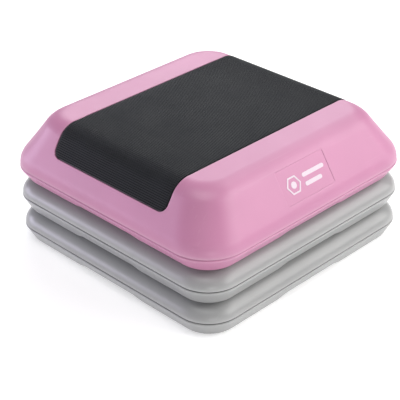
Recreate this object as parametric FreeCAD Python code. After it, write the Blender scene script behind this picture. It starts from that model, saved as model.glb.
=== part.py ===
"""Square high step: a hollow platform with a ribbed tread on two stacking risers.

Millimetres. +Z is up and the origin is the middle of the footprint, at the floor. The tread runs along X
and wraps down the two X slopes. The badge panel is on the -Y slope.
"""
import FreeCAD, Part
import math
import os

from FreeCAD import Vector

# ---- driving dimensions ----
RISER_PITCH = 50.8          # height that one riser adds to the step
PLATFORM_HEIGHT = 101.6     # height of the platform alone
WALL = 3.0                  # wall of the blow-moulded shells
STACK_GAP = 0.3             # free space between a unit and the feet of the unit on it
FOOT_DROP = 1.2             # how far the rubber feet stand out below a unit

# ---- outline of a riser: half width, corner radius, height above the riser's feet ----
RISER_BOTTOM_HALF, RISER_BOTTOM_CORNER = 199.5, 41.0
RISER_PART_HALF, RISER_PART_CORNER, RISER_PART_LEVEL = 211.0, 50.5, 26.0
RISER_DOME_RUN = 38.0       # how far the domed side runs in before the top is flat
DOME_CORNER_SHARE = 0.6     # how much of that run the corner radius loses

# ---- outline of the platform ----
PLATFORM_BOTTOM_HALF, PLATFORM_BOTTOM_CORNER = 198.0, 42.0
PLATFORM_WIDE_HALF, PLATFORM_WIDE_CORNER, PLATFORM_WIDE_LEVEL = 214.0, 62.0, 25.0
PLATFORM_TOP_CORNER = 30.0
PLATFORM_CORNER_POWER = 1.5 # the corner radius shrinks faster towards the top
SLOPE_ANGLE = 57.0          # of the sides, from the floor, in degrees
SHOULDER_RADIUS = 34.0      # from the widest level into the slope
TOP_RADIUS = 35.0           # from the slope into the flat top

# ---- details shared by the three units ----
EDGE_RADIUS = 3.0           # round of the bottom edge
SEAM_DEPTH = 1.6            # groove of the parting line
SEAM_LOW, SEAM_HIGH = 1.4, 0.15     # edges of its floor, below the parting level
LIP_OUT, LIP_EDGE = 0.5, 0.8        # how far the lip under it stands out, and its chamfer
ARC_STEPS = 6               # sections lofted along an arc of an outline
GRIP_BOTTOM_HALF, GRIP_TOP_HALF = 66.0, 52.0
GRIP_HEIGHT = 5.0
GRIP_REACH = 26.0           # how far a finger grip runs in from the bottom edge

# ---- boss on the risers and the recess that takes it ----
BOSS_HALF, BOSS_TOP_HALF, BOSS_CORNER, BOSS_HEIGHT = 112.0, 107.0, 28.0, 8.0
RECESS_HALF, RECESS_TOP_HALF, RECESS_CORNER, RECESS_DEPTH = 114.0, 110.0, 30.0, 10.0

# ---- kiss-off pillars, pressed up from the underside to the top wall ----
PILLAR_FOOT_RADIUS, PILLAR_TIP_RADIUS = 13.0, 7.0
PILLAR_TIP_WALL = 4.0
PILLAR_PITCH = 66.0         # of the nine inside the recess
RIM_PILLAR_OUT, RIM_PILLAR_ALONG = 137.0, 58.0

# ---- rubber feet and blow-pin plug ----
FOOT_OUT = 152.0
FOOT_RADIUS, FOOT_THICKNESS = 16.0, 4.0
FOOT_POCKET_CLEARANCE = 0.5
STEM_RADIUS, STEM_CLEARANCE = 4.0, 0.1
BARB_RADIUS, BARB_TIP_RADIUS, BARB_LENGTH = 5.4, 3.4, 6.0
BARB_GAP = 0.1              # between a barb and the inside of the wall
FOOT_CHAMFER = 0.6
PLUG_OUT = 33.0
PLUG_HEAD_RADIUS, PLUG_HEAD_THICKNESS, PLUG_STEM_RADIUS = 9.0, 1.6, 6.0
PLUG_BARB_RADIUS, PLUG_TIP_RADIUS, PLUG_BARB_LENGTH = 6.6, 5.2, 3.2

# ---- tread and its recess ----
TREAD_HALF_WIDTH = 114.5
TREAD_END_LEVEL = 164.0     # height of the tread's two ends, on the slopes
TREAD_END_CORNER = 11.0
TREAD_BED_DEPTH = 2.8
TREAD_PROUD = 0.4           # tread above the surface round it
TREAD_GLUE = 0.2            # glue line under the tread
TREAD_GROOVE = 1.4          # gap between the tread and the wall of its bed

# ---- badge panel, pressed into the -Y slope, and its print, in the plane of that slope ----
PANEL_LEFT, PANEL_RIGHT = -53.0, 43.0
PANEL_LOW, PANEL_HIGH = 148.0, 190.0
PANEL_CORNER = 2.5
PANEL_DEPTH = 0.7
PRINT_THICKNESS = 0.3
PRINT_LIFT = 0.05           # film of primer under the print
PRINT_UP = 27.0             # middle of the print, up the slope from the shoulder
HEX_MIDDLE_X, HEX_RADIUS, HEX_WALL, HEX_DOT_RADIUS = -29.0, 14.0, 2.6, 5.0
BAR_LEFT, BAR_HEIGHT, BAR_CORNER, BAR_SPACING = -9.0, 6.0, 2.99, 13.0
BAR_LENGTHS = (44.0, 34.0)

PLATFORM_BASE = 2 * RISER_PITCH
PLATFORM_TOP = PLATFORM_BASE + PLATFORM_HEIGHT - TREAD_PROUD
RISER_HEIGHT = RISER_PITCH - STACK_GAP
CORNER_SIGNS = {"front_left": (-1, -1), "front_right": (1, -1), "back_left": (-1, 1), "back_right": (1, 1)}
FAR = 400.0                 # beyond the object in any direction
MARGIN = 1.0                # how far a cutter runs past the face it opens
ABOVE_SURFACE = 4.0         # how far a cutter of a surface layer reaches out of it


# ---- outlines ----

def rounded_square(half, corner, height, half_y=None):
    """Closed wire of four straight edges and four arcs, centred on the Z axis."""
    half_y = half if half_y is None else half_y
    straight_x = half - corner
    straight_y = half_y - corner
    edges = []
    for quarter in range(4):
        start = math.radians(90 * quarter)
        sign_x = 1 if quarter in (0, 3) else -1
        sign_y = 1 if quarter in (0, 1) else -1
        centre = Vector(sign_x * straight_x, sign_y * straight_y, height)
        arc_points = []
        for share in (0.0, 0.5, 1.0):
            angle = start + share * math.pi / 2
            arc_points.append(centre + Vector(corner * math.cos(angle), corner * math.sin(angle), 0))
        if edges:
            edges.append(Part.LineSegment(last_point, arc_points[0]).toShape())
        else:
            first_point = arc_points[0]
        edges.append(Part.Arc(*arc_points).toShape())
        last_point = arc_points[2]
    edges.append(Part.LineSegment(last_point, first_point).toShape())
    return Part.Wire(edges)


def arc_sections(centre_half, centre_level, run, rise, start, end, corner_of):
    """Sections along an elliptic arc of an outline; angles in degrees, 0 pointing outwards."""
    sections = []
    for step in range(ARC_STEPS + 1):
        angle = math.radians(start + (end - start) * step / ARC_STEPS)
        half = centre_half + run * math.cos(angle)
        sections.append((half, corner_of(half), centre_level + rise * math.sin(angle)))
    return sections


def closed_body(stretches):
    """Solid through stretches of sections, each lofted on its own so that its ends stay crisp."""
    faces = []
    for sections in stretches:
        wires = [rounded_square(*section) for section in sections]
        faces += Part.makeLoft(wires, False, len(wires) == 2).Faces
    faces.append(Part.Face(rounded_square(*stretches[0][0])))
    faces.append(Part.Face(rounded_square(*stretches[-1][-1])))
    shell = Part.makeShell(faces)
    shell.sewShape()
    body = Part.Solid(Part.Shell(shell.Faces))
    if body.Volume < 0:
        body.reverse()
    return body


def blend(low, high, share):
    return low + (high - low) * share


def band_stretches(base, bottom, parting, inset):
    """Bottom round, tapered band and parting-line groove, up to the top of the groove."""
    bottom_half, bottom_corner = bottom
    part_half, part_corner, part_level = parting
    floor = base + FOOT_DROP + inset
    taper = math.atan2(part_half - bottom_half, part_level - FOOT_DROP)
    slant_inset = inset / math.cos(taper)
    low_half = bottom_half + inset * math.tan(taper) - slant_inset
    low_corner = bottom_corner - inset
    top_half = part_half - inset
    top_corner = part_corner - inset
    if inset > 0:
        return [[(low_half, low_corner, floor), (top_half, top_corner, base + part_level)]]

    def corner_of(half):
        return blend(bottom_corner, part_corner, (half - bottom_half) / (part_half - bottom_half))

    drop = EDGE_RADIUS * (1 + math.sin(taper))
    centre_half = bottom_half + drop * math.tan(taper) - EDGE_RADIUS * math.cos(taper)
    edge_round = arc_sections(centre_half, floor + EDGE_RADIUS, EDGE_RADIUS, EDGE_RADIUS,
                              -90.0, -math.degrees(taper), corner_of)
    level = base + part_level
    lip_half = part_half + LIP_OUT
    lip_edge_half = lip_half - LIP_EDGE
    groove_half = part_half - SEAM_DEPTH
    lip = (lip_half, part_corner + LIP_OUT, level - SEAM_LOW - LIP_EDGE)
    lip_edge = (lip_edge_half, part_corner + LIP_OUT - LIP_EDGE, level - SEAM_LOW)
    groove_floor = (groove_half, part_corner - SEAM_DEPTH, level - SEAM_LOW + SEAM_HIGH)
    groove_top = (groove_half, part_corner - SEAM_DEPTH, level - SEAM_HIGH)
    rim = (part_half, part_corner, level)
    return [edge_round, [edge_round[-1], lip], [lip, lip_edge], [lip_edge, groove_floor],
            [groove_floor, groove_top], [groove_top, rim]]


def riser_body(base, inset=0.0):
    """Outer form of a riser, or the same form drawn in by a wall."""
    parting = (RISER_PART_HALF, RISER_PART_CORNER, RISER_PART_LEVEL)
    stretches = band_stretches(base, (RISER_BOTTOM_HALF, RISER_BOTTOM_CORNER), parting, inset)

    def corner_of(half):
        return RISER_PART_CORNER - inset - DOME_CORNER_SHARE * (RISER_PART_HALF - inset - half)

    run = RISER_DOME_RUN - inset
    rise = RISER_HEIGHT - RISER_PART_LEVEL - inset
    stretches.append(arc_sections(RISER_PART_HALF - RISER_DOME_RUN, base + RISER_PART_LEVEL, run, rise,
                                  0.0, 90.0, corner_of))
    return closed_body(stretches)


def shoulder_centre():
    return PLATFORM_WIDE_HALF - SHOULDER_RADIUS, PLATFORM_BASE + PLATFORM_WIDE_LEVEL


def top_round_centre():
    """Centre of the top round, placed so that the straight slope is tangent to both rounds."""
    lean = math.radians(90 - SLOPE_ANGLE)
    half, level = shoulder_centre()
    reach = half * math.cos(lean) + level * math.sin(lean) + SHOULDER_RADIUS - TOP_RADIUS
    top_level = PLATFORM_TOP - TOP_RADIUS
    return (reach - top_level * math.sin(lean)) / math.cos(lean), top_level


def platform_corner(half, inset):
    top_half = top_round_centre()[0]
    share = max(PLATFORM_WIDE_HALF - inset - half, 0.0) / (PLATFORM_WIDE_HALF - top_half)
    return blend(PLATFORM_WIDE_CORNER, PLATFORM_TOP_CORNER, share ** PLATFORM_CORNER_POWER) - inset


def platform_body(inset=0.0):
    """Outer form of the platform, or the same form drawn in by a wall."""
    parting = (PLATFORM_WIDE_HALF, PLATFORM_WIDE_CORNER, PLATFORM_WIDE_LEVEL)
    bottom = (PLATFORM_BOTTOM_HALF, PLATFORM_BOTTOM_CORNER)
    stretches = band_stretches(PLATFORM_BASE, bottom, parting, inset)
    lean = 90 - SLOPE_ANGLE

    def corner_of(half):
        return platform_corner(half, inset)

    shoulder_round = SHOULDER_RADIUS - inset
    top_round = TOP_RADIUS - inset
    shoulder = arc_sections(*shoulder_centre(), shoulder_round, shoulder_round, 0.0, lean, corner_of)
    top = arc_sections(*top_round_centre(), top_round, top_round, lean, 90.0, corner_of)
    stretches += [shoulder, [shoulder[-1], top[0]], top]
    return closed_body(stretches)


# ---- cutters ----

def frustum(half_low, half_high, corner, low, high):
    """Tapered rounded square between two heights."""
    return closed_body([[(half_low, corner, low), (half_high, corner, high)]])


def grip_cutters(base, bottom_half, grow=0.0):
    """The four finger grips in the bottom edge of a unit, grown by a wall for its cavity."""
    low = base - grow
    ceiling = base + FOOT_DROP + GRIP_HEIGHT + grow
    outline = [Vector(-GRIP_BOTTOM_HALF - 2 * grow, 0, low), Vector(-GRIP_TOP_HALF - grow, 0, ceiling),
               Vector(GRIP_TOP_HALF + grow, 0, ceiling), Vector(GRIP_BOTTOM_HALF + 2 * grow, 0, low)]
    outline.append(outline[0])
    inner_end = bottom_half - GRIP_REACH - grow
    prism = Part.Face(Part.makePolygon(outline)).extrude(Vector(0, FAR - inner_end, 0))
    prism.translate(Vector(0, inner_end, 0))
    return [turned(prism, 90 * quarter) for quarter in range(4)]


def turned(shape, angle):
    """Copy of a shape turned about the Z axis."""
    copy = shape.copy()
    copy.rotate(Vector(0, 0, 0), Vector(0, 0, 1), angle)
    return copy


def pillar_places():
    """Centres of the pillars: nine in the recess and eight on the rim."""
    inner = [(PILLAR_PITCH * column, PILLAR_PITCH * row) for column in (-1, 0, 1) for row in (-1, 0, 1)]
    rim = []
    for along in (-RIM_PILLAR_ALONG, RIM_PILLAR_ALONG):
        for out in (-RIM_PILLAR_OUT, RIM_PILLAR_OUT):
            rim += [(along, out), (out, along)]
    return inner, rim


def pillar_cutters(base, inner_top, rim_top, grow=0.0):
    """Tapered holes of the pillars, from the underside to just under the top wall."""
    inner, rim = pillar_places()
    low = base - MARGIN
    foot_radius = PILLAR_FOOT_RADIUS + grow
    tip_radius = PILLAR_TIP_RADIUS + grow
    cutters = []
    for places, top in ((inner, inner_top), (rim, rim_top)):
        for x, y in places:
            cutters.append(Part.makeCone(foot_radius, tip_radius, top + grow - low, Vector(x, y, low)))
    return cutters


def foot_places():
    return {name: (x * FOOT_OUT, y * FOOT_OUT) for name, (x, y) in CORNER_SIGNS.items()}


def foot_cutters(base, grow=0.0):
    """Pockets that the rubber feet sit in."""
    radius = FOOT_RADIUS + FOOT_POCKET_CLEARANCE + grow
    height = FOOT_THICKNESS + grow
    return [Part.makeCylinder(radius, height, Vector(x, y, base)) for x, y in foot_places().values()]


def stem_holes(base):
    """Holes through the wall for the stems of the feet and for the plug."""
    radius = STEM_RADIUS + STEM_CLEARANCE
    height = WALL + 2 * MARGIN
    low = base + FOOT_THICKNESS - MARGIN
    ceiling = base + FOOT_DROP + RECESS_DEPTH
    holes = [Part.makeCylinder(radius, height, Vector(x, y, low)) for x, y in foot_places().values()]
    holes.append(Part.makeCylinder(PLUG_STEM_RADIUS, height, Vector(PLUG_OUT, PLUG_OUT, ceiling - MARGIN)))
    return holes


def recess(base, grow=0.0):
    """Space under a unit that takes the boss of the riser below."""
    return frustum(RECESS_HALF + grow, RECESS_TOP_HALF + grow, RECESS_CORNER + grow,
                   base + FOOT_DROP, base + FOOT_DROP + RECESS_DEPTH + grow)


# ---- shells ----

def hollow_shell(outer, inner, base, bottom_half, inner_top, rim_top):
    """Blow-moulded shell: the outer form less its underside details and less the cavity they leave."""
    outer_cutters = [recess(base)] + grip_cutters(base, bottom_half)
    outer_cutters += pillar_cutters(base, inner_top, rim_top) + foot_cutters(base)
    cavity_cutters = [recess(base, WALL)] + grip_cutters(base, bottom_half, WALL)
    cavity_cutters += pillar_cutters(base, inner_top, rim_top, WALL) + foot_cutters(base, WALL)
    cavity = inner.cut(cavity_cutters)
    return outer.cut(outer_cutters).cut(cavity).cut(stem_holes(base))


def riser_shell(base):
    top = base + RISER_HEIGHT
    boss_top = top + BOSS_HEIGHT
    boss = frustum(BOSS_HALF, BOSS_TOP_HALF, BOSS_CORNER, top, boss_top)
    boss_cavity = frustum(BOSS_HALF - WALL, BOSS_TOP_HALF - WALL, BOSS_CORNER - WALL,
                          top - 2 * WALL, boss_top - WALL)
    outer = riser_body(base).fuse(boss)
    inner = riser_body(base, WALL).fuse(boss_cavity)
    return hollow_shell(outer, inner, base, RISER_BOTTOM_HALF,
                        boss_top - PILLAR_TIP_WALL, top - PILLAR_TIP_WALL)


def arc_through(centre, radius, start, end):
    """Arc in the XZ plane about a centre given as (half width, level); angles in radians."""
    half, level = centre
    points = []
    for angle in (start, (start + end) / 2, end):
        points.append(Vector(half + radius * math.cos(angle), 0, level + radius * math.sin(angle)))
    return Part.Arc(*points).toShape()


def line(start, end):
    return Part.LineSegment(start, end).toShape()


def slope_section(inset):
    """Outline of the platform in the XZ plane down to the widest level, drawn in by an inset."""
    lean = math.radians(90 - SLOPE_ANGLE)
    shoulder = arc_through(shoulder_centre(), SHOULDER_RADIUS - inset, 0.0, lean)
    top = arc_through(top_round_centre(), TOP_RADIUS - inset, lean, math.pi / 2)
    low_point, slope_low = shoulder.firstVertex().Point, shoulder.lastVertex().Point
    slope_high, top_point = top.firstVertex().Point, top.lastVertex().Point
    right = [shoulder, line(slope_low, slope_high), top]
    left = [edge.mirror(Vector(0, 0, 0), Vector(1, 0, 0)) for edge in right]
    across_top = line(top_point, Vector(-top_point.x, 0, top_point.z))
    across_low = line(Vector(-low_point.x, 0, low_point.z), low_point)
    return Part.Face(Part.Wire(Part.__sortEdges__(right + left + [across_top, across_low])))


def surface_layer(outside_inset, inside_inset, left, right, low, high, corner):
    """Slice of the platform between two insets, within a rounded window seen along X."""
    width = right - left
    height = high - low

    def extruded(inset):
        solid = slope_section(inset).extrude(Vector(0, width, 0))
        solid.translate(Vector(0, left, 0))
        return solid

    window = rounded_square(width / 2, corner, 0, height / 2)
    prism = Part.Face(window).extrude(Vector(0, 0, 2 * FAR))
    prism.rotate(Vector(0, 0, 0), Vector(0, 0, 1), 90)
    prism.rotate(Vector(0, 0, 0), Vector(0, 1, 0), 90)
    prism.translate(Vector(-FAR, left + width / 2, low + height / 2))
    return extruded(outside_inset).cut(extruded(inside_inset)).common(prism)


def tread_layer(outside_inset, inside_inset, grow):
    """Slice within the tread's outline, grown all round."""
    half_width = TREAD_HALF_WIDTH + grow
    return surface_layer(outside_inset, inside_inset, -half_width, half_width,
                         TREAD_END_LEVEL - grow, FAR, TREAD_END_CORNER + grow)


def tread_bed(grow=0.0):
    return tread_layer(-ABOVE_SURFACE, TREAD_BED_DEPTH + grow, TREAD_GROOVE + grow)


def tread_mat():
    return tread_layer(-TREAD_PROUD, TREAD_BED_DEPTH - TREAD_GLUE, 0.0)


def on_slope(shape, inset):
    """Copy of a flat shape laid on the -Y slope: its X stays, its Y runs up, its Z points outwards."""
    lean = math.radians(90 - SLOPE_ANGLE)
    half, level = shoulder_centre()
    reach = SHOULDER_RADIUS - inset
    foot = Vector(0, -half - reach * math.cos(lean), level + reach * math.sin(lean))
    copy = shape.copy()
    copy.rotate(Vector(0, 0, 0), Vector(1, 0, 0), SLOPE_ANGLE)
    copy.translate(foot)
    return copy


def badge_panel():
    both_sides = surface_layer(-ABOVE_SURFACE, PANEL_DEPTH, PANEL_LEFT, PANEL_RIGHT,
                               PANEL_LOW, PANEL_HIGH, PANEL_CORNER)
    minus_x_side = both_sides.common(Part.makeBox(FAR, 2 * FAR, FAR, Vector(-FAR, -FAR, 0)))
    return turned(minus_x_side.mirror(Vector(0, 0, 0), Vector(0, 1, 0)), 90)


def badge_print():
    """Generic mark: a hexagon ring with a dot, and two plain bars."""
    def hexagon(radius):
        angles = [math.radians(60 * turn) for turn in range(7)]
        corners = [Vector(radius * math.cos(angle), radius * math.sin(angle), 0) for angle in angles]
        return Part.Face(Part.makePolygon(corners))

    ring = hexagon(HEX_RADIUS).cut(hexagon(HEX_RADIUS - HEX_WALL))
    ring = ring.Faces[0].extrude(Vector(0, 0, PRINT_THICKNESS))
    dot = Part.makeCylinder(HEX_DOT_RADIUS, PRINT_THICKNESS)
    marks = [ring, dot]
    for mark in marks:
        mark.translate(Vector(HEX_MIDDLE_X, 0, 0))
    for row, length in enumerate(BAR_LENGTHS):
        bar = Part.Face(rounded_square(length / 2, BAR_CORNER, 0, BAR_HEIGHT / 2))
        bar = bar.extrude(Vector(0, 0, PRINT_THICKNESS))
        bar.translate(Vector(BAR_LEFT + length / 2, BAR_SPACING * (0.5 - row), 0))
        marks.append(bar)
    for mark in marks:
        mark.translate(Vector(0, PRINT_UP, 0))
    return Part.Compound([on_slope(mark, PANEL_DEPTH - PRINT_LIFT) for mark in marks])


def platform_shell():
    pillar_top = PLATFORM_TOP - TREAD_BED_DEPTH - PILLAR_TIP_WALL
    inner = platform_body(WALL).cut(tread_bed(WALL))
    outer = platform_body().cut([tread_bed(), badge_panel()])
    return hollow_shell(outer, inner, PLATFORM_BASE, PLATFORM_BOTTOM_HALF, pillar_top, pillar_top)


# ---- feet and plugs ----

def foot(base, x, y):
    """Rubber foot: a pad with a stem and a barb that snaps into the shell."""
    pad = Part.makeCylinder(FOOT_RADIUS, FOOT_THICKNESS)
    pad = pad.makeChamfer(FOOT_CHAMFER, [pad.Edges[0], pad.Edges[2]])
    stem_length = WALL + BARB_GAP
    stem = Part.makeCylinder(STEM_RADIUS, stem_length, Vector(0, 0, FOOT_THICKNESS))
    barb_foot = Vector(0, 0, FOOT_THICKNESS + stem_length)
    barb = Part.makeCone(BARB_RADIUS, BARB_TIP_RADIUS, BARB_LENGTH, barb_foot)
    solid = pad.fuse([stem, barb]).removeSplitter()
    solid.translate(Vector(x, y, base))
    return solid


def plug(base):
    """Press-in plug of the blow-pin hole, its head against the ceiling of the recess."""
    head = Part.makeCylinder(PLUG_HEAD_RADIUS, PLUG_HEAD_THICKNESS, Vector(0, 0, -PLUG_HEAD_THICKNESS))
    stem_length = WALL + BARB_GAP
    stem = Part.makeCylinder(PLUG_STEM_RADIUS - STEM_CLEARANCE, stem_length)
    barb = Part.makeCone(PLUG_BARB_RADIUS, PLUG_TIP_RADIUS, PLUG_BARB_LENGTH, Vector(0, 0, stem_length))
    solid = head.fuse([stem, barb]).removeSplitter()
    solid.translate(Vector(PLUG_OUT, PLUG_OUT, base + FOOT_DROP + RECESS_DEPTH))
    return solid


def all_parts():
    parts = {
        "lower_riser_shell": riser_shell(0.0),
        "upper_riser_shell": riser_shell(RISER_PITCH),
        "platform_shell": platform_shell(),
        "tread_mat": tread_mat(),
        "badge_print": badge_print(),
    }
    for unit, base in (("lower_riser", 0.0), ("upper_riser", RISER_PITCH), ("platform", PLATFORM_BASE)):
        parts[unit + "_plug"] = plug(base)
        for corner, (x, y) in foot_places().items():
            parts[unit + "_foot_" + corner] = foot(base, x, y)
    return parts


os.makedirs("parts", exist_ok=True)
for name, shape in all_parts().items():
    shape.exportStep("parts/" + name + ".step")
    box = shape.BoundBox
    print(name, len(shape.Solids), shape.isValid(), round(shape.Volume),
          round(box.XMax, 2), round(box.ZMin, 2), round(box.ZMax, 2))
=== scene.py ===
import math

import bpy
import numpy as np
from mathutils import Matrix, Vector


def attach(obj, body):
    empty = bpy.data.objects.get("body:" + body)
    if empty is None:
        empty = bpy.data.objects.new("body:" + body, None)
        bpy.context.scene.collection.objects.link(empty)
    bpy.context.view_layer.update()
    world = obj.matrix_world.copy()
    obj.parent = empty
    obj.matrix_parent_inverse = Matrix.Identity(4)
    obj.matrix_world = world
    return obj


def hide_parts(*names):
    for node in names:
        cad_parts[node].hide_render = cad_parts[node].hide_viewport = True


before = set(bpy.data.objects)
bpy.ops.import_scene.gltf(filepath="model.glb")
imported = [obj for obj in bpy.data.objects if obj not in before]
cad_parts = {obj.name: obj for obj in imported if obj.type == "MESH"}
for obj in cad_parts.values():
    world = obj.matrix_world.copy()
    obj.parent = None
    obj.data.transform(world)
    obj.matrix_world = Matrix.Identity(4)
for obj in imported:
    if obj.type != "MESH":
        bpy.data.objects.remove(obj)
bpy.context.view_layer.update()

# Millimetres throughout; meshes are scaled to metres when they are made.
MM = 0.001

# ---- shape of the units, as in the CAD model ----
FOOT_DROP = 1.2
RISER_TOP = 50.5
RISER_PITCH = 50.8
PLATFORM_TOP = 101.2            # above the platform's own feet
RISER_BOTTOM = (199.5, 41.0)    # half width and corner radius
RISER_SEAM = (211.0, 50.5)
RISER_SEAM_LEVEL = 26.0
RISER_DOME_RUN = 38.0
DOME_CORNER_SHARE = 0.6
PLATFORM_BOTTOM = (198.0, 42.0)
PLATFORM_SEAM = (214.0, 62.0)
PLATFORM_SEAM_LEVEL = 25.0
PLATFORM_TOP_CORNER = 30.0
PLATFORM_CORNER_POWER = 1.5      # the corner radius shrinks faster towards the top
SLOPE = math.radians(57.0)
LEAN = math.pi / 2 - SLOPE
SHOULDER_RADIUS = 34.0
TOP_RADIUS = 35.0
EDGE_RADIUS = 3.0
GRIP_BOTTOM_HALF, GRIP_TOP_HALF, GRIP_HEIGHT, GRIP_REACH = 66.0, 52.0, 5.0, 26.0
BOSS_HALF, BOSS_TOP_HALF, BOSS_CORNER, BOSS_HEIGHT = 112.0, 107.0, 28.0, 8.0
BOSS_FOOT_ROUND, BOSS_TOP_ROUND = 1.5, 2.5
RECESS_HALF, RECESS_TOP_HALF, RECESS_CORNER, RECESS_DEPTH = 114.0, 110.0, 30.0, 10.0
CEILING_ROUND, MOUTH_ROUND = 3.0, 1.5
GRIP_WALL_RUN = 2.6             # the grip's inner wall leans over this width
BAND_TOP = 2.0                  # the band ends this far below the parting line

# ---- tread and badge panel, heights above the platform's feet ----
TREAD_HALF_WIDTH, TREAD_END_LEVEL, TREAD_END_CORNER = 114.5, 62.4, 12.0
TREAD_GROOVE, BED_DEPTH, BED_LIP = 1.4, 2.8, 1.0
TREAD_PROUD, TREAD_BODY, TREAD_EDGE_ROUND = 0.4, 3.0, 0.7
TREAD_COLUMNS, RIB_STEPS = 41, 8
RIB_PITCH, RIB_HEIGHT, RIB_CREST = 3.1, 1.15, 1.5
PANEL_LEFT, PANEL_RIGHT, PANEL_LOW, PANEL_HIGH = -53.0, 43.0, 46.4, 88.4
PANEL_DEPTH, PANEL_LIP, PANEL_CORNER = 0.7, 0.6, 2.5
PANEL_FRONT = -140.0            # the panel lies on the -Y side of this
PANEL_TOP_RISE = 0.8            # level gained along the top round at the panel's upper edge
PRESS_WALL = 0.15               # run of the steep wall inside a pressed-in edge
PRESS_CLEAR = 5.0               # nothing is pressed in lower than this above the parting line

# ---- pillars, feet and plug holes in the underside ----
PILLAR_PITCH, RIM_PILLAR_OUT, RIM_PILLAR_ALONG = 66.0, 137.0, 58.0
PILLAR_FOOT_RADIUS, PILLAR_TIP_RADIUS = 13.0, 7.0
PILLAR_TIP_WALL, PILLAR_MOUTH_ROUND = 4.0, 1.6
FOOT_OUT, FOOT_POCKET_RADIUS, FOOT_POCKET_TOP, FOOT_POCKET_ROUND = 152.0, 16.5, 4.0, 0.5
PLUG_OUT, PLUG_HOLE_RADIUS = 33.0, 6.0
LATHE_SEGMENTS = 40

# Parting line, as (inward, level) from where the upper half starts: a round lip, a groove, a crisp rim.
SEAM_PROFILE = (
    (-0.5, -3.1), (-0.42, -2.75), (-0.22, -2.4), (0.1, -2.08), (0.5, -1.84), (0.95, -1.68), (1.35, -1.58),
    (1.55, -1.42), (1.6, -1.2), (1.6, -0.3), (1.45, -0.15), (0.5, -0.08), (0.1, -0.03))
SEAM_LIP_LEVEL = -3.3
PLATFORM_SEAM_SHARE = 0.5       # the platform's parting line is shallower
GROOVE_SHADE_LOW, GROOVE_SHADE_HIGH = -1.6, -0.14       # levels of the groove that is painted dark as shade
# How strongly painted shade darkens the parting line's groove on the risers and on the platform.
RISER_GROOVE_SHADE, PLATFORM_GROOVE_SHADE = 1.0, 0.32

CORNER_COLUMNS = 16
COLUMN_CLEARANCE = 0.3          # share of the spacing that an extra column keeps free round it
RISER_SPACING, PLATFORM_SPACING, FINE_SPACING = 6.0, 5.0, 0.7
LEVEL_CLEARANCE = 0.9           # no plain grid line lies closer than this to a fine one
FINE_MARGIN = 4.0               # fine lines run this far past the bed's corner
GRIP_COLUMNS = (48.0, 50.0, 51.2, 52.0, 52.8, 54.0, 57.0, 61.0, 64.0, 65.2, 66.0, 66.8, 68.0, 70.0)
FEATURE_HALF = 118.0            # columns keep their place along a side up to here
SHORT_SIDE, SQUEEZE_MARGIN = 130.0, 20.0    # rings smaller than this squeeze their columns
TOP_RING_HALVES = (160.0, 140.0, 124.0)
RIM_RING_HALVES = (126.0, 140.0, 155.0)
GRIP_RING_OFFSETS = (-5.0, -2.5, -1.5, -0.8, 0.0, 2.0, 8.0, 15.0, 20.0)
CREASE, TREAD_CREASE = 50, 38   # edges sharper than this, in degrees, stay crisp


# ---- grids of rings ----

def blend(low, high, share):
    return low + (high - low) * share


def smooth(share):
    share = np.clip(share, 0.0, 1.0)
    return share * share * (3.0 - 2.0 * share)


def crisp(share, softness=0.06):
    """Straight ramp from 0 to 1 with small rounds at its two ends."""
    low = 0.5 * (share + np.sqrt(share ** 2 + softness ** 2))
    return 1.0 - 0.5 * (1.0 - low + np.sqrt((1.0 - low) ** 2 + softness ** 2))


def side_columns(extra, spacing):
    """Places along one side, as (place, share of what is left from there to the corner)."""
    count = int(round(2 * FEATURE_HALF / spacing))
    fixed = set(np.round(np.linspace(-FEATURE_HALF, FEATURE_HALF, count + 1), 3).tolist())
    for place in extra:
        fixed = {value for value in fixed
                 if min(abs(value - place), abs(value + place)) > COLUMN_CLEARANCE * spacing}
    for place in extra:
        fixed |= {round(place, 3), round(-place, 3)}
    places = sorted(fixed)
    steps = range(1, CORNER_COLUMNS + 1)
    shares = [math.sin(math.pi / 2 * step / CORNER_COLUMNS) for step in steps]
    columns = [(-FEATURE_HALF, -share) for share in reversed(shares)]
    columns += [(place, 0.0) for place in places]
    columns += [(FEATURE_HALF, share) for share in shares]
    return columns


def ring_points(half, corner, level, columns):
    """Points of one rounded-square ring, side after side, each side without its last point."""
    reach = half - corner * (1 - math.sqrt(0.5))
    squeeze = 1.0 if reach > SHORT_SIDE else reach / (SHORT_SIDE + SQUEEZE_MARGIN)
    rest = reach - squeeze * FEATURE_HALF
    along = np.array([squeeze * place + share * rest for place, share in columns])
    straight = half - corner
    past = np.clip(np.abs(along) - straight, 0.0, None)
    out = straight + np.sqrt(np.maximum(corner ** 2 - past ** 2, 0.0))
    side = np.stack([out, along, np.full(len(along), level)], axis=1)[:-1]
    sides = []
    for quarter in range(4):
        cos, sin = round(math.cos(quarter * math.pi / 2)), round(math.sin(quarter * math.pi / 2))
        x, y = side[:, 0] * cos - side[:, 1] * sin, side[:, 0] * sin + side[:, 1] * cos
        sides.append(np.stack([x, y, side[:, 2]], axis=1))
    return np.concatenate(sides)


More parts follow.
